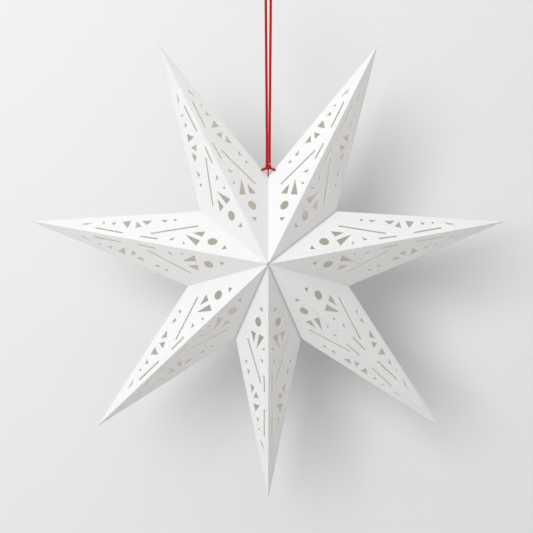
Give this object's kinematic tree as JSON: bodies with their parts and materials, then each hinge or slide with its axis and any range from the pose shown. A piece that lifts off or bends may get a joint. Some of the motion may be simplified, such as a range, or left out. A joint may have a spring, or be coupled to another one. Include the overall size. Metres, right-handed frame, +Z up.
{
  "type": "folding paper snowflake star",
  "caption": "Hollow seven-pointed snowflake star of white card, pierced in front and plain behind, that folds flat like a fan and hangs by a doubled red cord.",
  "frame": {"origin": "where a hook bears in the loop at the top of the cord", "axes": "+Z up along the cord, the star's front faces -Y, +X to the right seen from the front"},
  "size_m": [0.582, 0.1378, 0.6478],
  "materials": {
    "white_card": "matte coated white card, its front panels pierced with die-cut triangles, slots and round holes",
    "red_cord": "twisted red cotton cord"
  },
  "bodies": {
    "seam_panel_and_cord": {"point_1_front_left": "white_card", "hanging_cord": "red_cord", "cord_knot": "red_cord", "cord_stem": "red_cord", "stopper_knot": "red_cord", "cord_tail_left": "red_cord", "cord_tail_right": "red_cord"},
    "point_1_back_left": {"point_1_back_left": "white_card"},
    "point_1_front_right": {"point_1_front_right": "white_card"},
    "point_1_back_right": {"point_1_back_right": "white_card"},
    "point_2_front_left": {"point_2_front_left": "white_card"},
    "point_2_back_left": {"point_2_back_left": "white_card"},
    "point_2_front_right": {"point_2_front_right": "white_card"},
    "point_2_back_right": {"point_2_back_right": "white_card"},
    "point_3_front_left": {"point_3_front_left": "white_card"},
    "point_3_back_left": {"point_3_back_left": "white_card"},
    "point_3_front_right": {"point_3_front_right": "white_card"},
    "point_3_back_right": {"point_3_back_right": "white_card"},
    "point_4_front_left": {"point_4_front_left": "white_card"},
    "point_4_back_left": {"point_4_back_left": "white_card"},
    "point_4_front_right": {"point_4_front_right": "white_card"},
    "point_4_back_right": {"point_4_back_right": "white_card"},
    "point_5_front_left": {"point_5_front_left": "white_card"},
    "point_5_back_left": {"point_5_back_left": "white_card"},
    "point_5_front_right": {"point_5_front_right": "white_card"},
    "point_5_back_right": {"point_5_back_right": "white_card"},
    "point_6_front_left": {"point_6_front_left": "white_card"},
    "point_6_back_left": {"point_6_back_left": "white_card"},
    "point_6_front_right": {"point_6_front_right": "white_card"},
    "point_6_back_right": {"point_6_back_right": "white_card"},
    "point_7_front_left": {"point_7_front_left": "white_card"},
    "point_7_back_left": {"point_7_back_left": "white_card"},
    "point_7_front_right": {"point_7_front_right": "white_card"},
    "point_7_back_right": {"point_7_back_right": "white_card"}
  },
  "joints": [
    {"name": "ridge_1", "type": "hinge", "parent": "seam_panel_and_cord", "child": "point_1_front_right", "pos_m": [-0.00007, -0.06932, -0.35014], "axis": [0.4391, 0.2272, 0.8692], "range_deg": [0, 88.17]},
    {"name": "side_1_left", "type": "hinge", "parent": "seam_panel_and_cord", "child": "point_1_back_left", "pos_m": [0.13526, 0, -0.08222], "axis": [0.6391, 0, 0.7691], "range_deg": [0, 86.58]},
    {"name": "side_1_right", "type": "hinge", "parent": "point_1_front_right", "child": "point_1_back_right", "pos_m": [0.13526, 0, -0.08222], "axis": [-0.2398, 0, -0.9708], "range_deg": [0, 86.58]},
    {"name": "valley_1", "type": "hinge", "parent": "point_1_front_right", "child": "point_2_front_left", "pos_m": [0.00005, -0.0701, -0.34996], "axis": [-0.6697, -0.5547, -0.4938], "range_deg": [0, 111.35]},
    {"name": "side_2_left", "type": "hinge", "parent": "point_2_front_left", "child": "point_2_back_left", "pos_m": [0.2958, 0, -0.29997], "axis": [0.9983, 0, -0.058], "range_deg": [0, 86.58]},
    {"name": "ridge_2", "type": "hinge", "parent": "point_2_front_left", "child": "point_2_front_right", "pos_m": [-0.00016, -0.06932, -0.35003], "axis": [0.9602, 0.2272, 0.1624], "range_deg": [0, 88.17]},
    {"name": "side_2_right", "type": "hinge", "parent": "point_2_front_right", "child": "point_2_back_right", "pos_m": [0.2958, 0, -0.29997], "axis": [-0.9237, 0, -0.3831], "range_deg": [0, 86.58]},
    {"name": "valley_2", "type": "hinge", "parent": "point_2_front_right", "child": "point_3_front_left", "pos_m": [0.00006, -0.0701, -0.35002], "axis": [-0.7948, -0.5547, 0.246], "range_deg": [0, 111.35]},
    {"name": "side_3_left", "type": "hinge", "parent": "point_3_front_left", "child": "point_3_back_left", "pos_m": [0.2158, 0, -0.5584], "axis": [0.5457, 0, -0.838], "range_deg": [0, 86.58]},
    {"name": "ridge_3", "type": "hinge", "parent": "point_3_front_left", "child": "point_3_front_right", "pos_m": [-0.0001, -0.06929, -0.34987], "axis": [0.7005, 0.2272, -0.6765], "range_deg": [0, 84.49]},
    {"name": "side_3_right", "type": "hinge", "parent": "point_3_front_right", "child": "point_3_back_right", "pos_m": [0.2158, 0, -0.5584], "axis": [-0.8425, 0, 0.5387], "range_deg": [0, 79.57]},
    {"name": "valley_3", "type": "hinge", "parent": "point_3_front_right", "child": "point_4_front_left", "pos_m": [0.00003, -0.07011, -0.35007], "axis": [-0.3251, -0.5547, 0.7659], "range_deg": [0, 100.79]},
    {"name": "side_4_left", "type": "hinge", "parent": "point_4_front_left", "child": "point_4_back_left", "pos_m": [0, 0, -0.65], "axis": [-0.1978, 0, -0.9802], "range_deg": [0, 79.57]},
    {"name": "ridge_4", "type": "hinge", "parent": "point_4_front_left", "child": "point_4_front_right", "pos_m": [0, -0.06927, -0.34983], "axis": [0, 0.2272, -0.9738], "range_deg": [0, 80.81]},
    {"name": "side_4_right", "type": "hinge", "parent": "point_4_front_right", "child": "point_4_back_right", "pos_m": [0, 0, -0.65], "axis": [-0.1978, 0, 0.9802], "range_deg": [0, 79.57]},
    {"name": "valley_4", "type": "hinge", "parent": "point_4_front_right", "child": "point_5_front_left", "pos_m": [-0.00003, -0.07011, -0.35007], "axis": [0.3251, -0.5547, 0.7659], "range_deg": [0, 100.79]},
    {"name": "side_5_left", "type": "hinge", "parent": "point_5_front_left", "child": "point_5_back_left", "pos_m": [-0.2158, 0, -0.5584], "axis": [-0.8425, 0, -0.5387], "range_deg": [0, 79.57]},
    {"name": "ridge_5", "type": "hinge", "parent": "point_5_front_left", "child": "point_5_front_right", "pos_m": [0.0001, -0.06929, -0.34987], "axis": [-0.7005, 0.2272, -0.6765], "range_deg": [0, 84.49]},
    {"name": "side_5_right", "type": "hinge", "parent": "point_5_front_right", "child": "point_5_back_right", "pos_m": [-0.2158, 0, -0.5584], "axis": [0.5457, 0, 0.838], "range_deg": [0, 86.58]},
    {"name": "valley_5", "type": "hinge", "parent": "point_5_front_right", "child": "point_6_front_left", "pos_m": [-0.00006, -0.0701, -0.35002], "axis": [0.7948, -0.5547, 0.246], "range_deg": [0, 111.35]},
    {"name": "side_6_left", "type": "hinge", "parent": "point_6_front_left", "child": "point_6_back_left", "pos_m": [-0.2958, 0, -0.29997], "axis": [-0.9237, 0, 0.3831], "range_deg": [0, 86.58]},
    {"name": "ridge_6", "type": "hinge", "parent": "point_6_front_left", "child": "point_6_front_right", "pos_m": [0.00016, -0.06932, -0.35003], "axis": [-0.9602, 0.2272, 0.1624], "range_deg": [0, 88.17]},
    {"name": "side_6_right", "type": "hinge", "parent": "point_6_front_right", "child": "point_6_back_right", "pos_m": [-0.2958, 0, -0.29997], "axis": [0.9983, 0, 0.058], "range_deg": [0, 86.58]},
    {"name": "valley_6", "type": "hinge", "parent": "point_6_front_right", "child": "point_7_front_left", "pos_m": [-0.00005, -0.0701, -0.34996], "axis": [0.6697, -0.5547, -0.4938], "range_deg": [0, 111.35]},
    {"name": "side_7_left", "type": "hinge", "parent": "point_7_front_left", "child": "point_7_back_left", "pos_m": [-0.13526, 0, -0.08222], "axis": [-0.2398, 0, 0.9708], "range_deg": [0, 86.58]},
    {"name": "ridge_7", "type": "hinge", "parent": "point_7_front_left", "child": "point_7_front_right", "pos_m": [0.00007, -0.06932, -0.35014], "axis": [-0.4391, 0.2272, 0.8692], "range_deg": [0, 88.17]},
    {"name": "side_7_right", "type": "hinge", "parent": "point_7_front_right", "child": "point_7_back_right", "pos_m": [-0.13526, 0, -0.08222], "axis": [0.6391, 0, -0.7691], "range_deg": [0, 86.58]}
  ],
  "couplings": [
    {"joint": "side_1_left", "follows": "ridge_1", "ratio": 0.98198},
    {"joint": "side_1_right", "follows": "ridge_1", "ratio": 0.98198},
    {"joint": "valley_1", "follows": "ridge_1", "ratio": 1.2629},
    {"joint": "side_2_left", "follows": "ridge_1", "ratio": 0.98198},
    {"joint": "ridge_2", "follows": "ridge_1", "ratio": 1},
    {"joint": "side_2_right", "follows": "ridge_1", "ratio": 0.98198},
    {"joint": "valley_2", "follows": "ridge_1", "ratio": 1.2629},
    {"joint": "side_3_left", "follows": "ridge_1", "ratio": 0.98198},
    {"joint": "ridge_3", "follows": "ridge_1", "ratio": 0.95822},
    {"joint": "side_3_right", "follows": "ridge_1", "ratio": 0.90244},
    {"joint": "valley_3", "follows": "ridge_1", "ratio": 1.1431},
    {"joint": "side_4_left", "follows": "ridge_1", "ratio": 0.90244},
    {"joint": "ridge_4", "follows": "ridge_1", "ratio": 0.91644},
    {"joint": "side_4_right", "follows": "ridge_1", "ratio": 0.90244},
    {"joint": "valley_4", "follows": "ridge_1", "ratio": 1.1431},
    {"joint": "side_5_left", "follows": "ridge_1", "ratio": 0.90244},
    {"joint": "ridge_5", "follows": "ridge_1", "ratio": 0.95822},
    {"joint": "side_5_right", "follows": "ridge_1", "ratio": 0.98198},
    {"joint": "valley_5", "follows": "ridge_1", "ratio": 1.2629},
    {"joint": "side_6_left", "follows": "ridge_1", "ratio": 0.98198},
    {"joint": "ridge_6", "follows": "ridge_1", "ratio": 1},
    {"joint": "side_6_right", "follows": "ridge_1", "ratio": 0.98198},
    {"joint": "valley_6", "follows": "ridge_1", "ratio": 1.2629},
    {"joint": "side_7_left", "follows": "ridge_1", "ratio": 0.98198},
    {"joint": "ridge_7", "follows": "ridge_1", "ratio": 1},
    {"joint": "side_7_right", "follows": "ridge_1", "ratio": 0.98198}
  ]
}
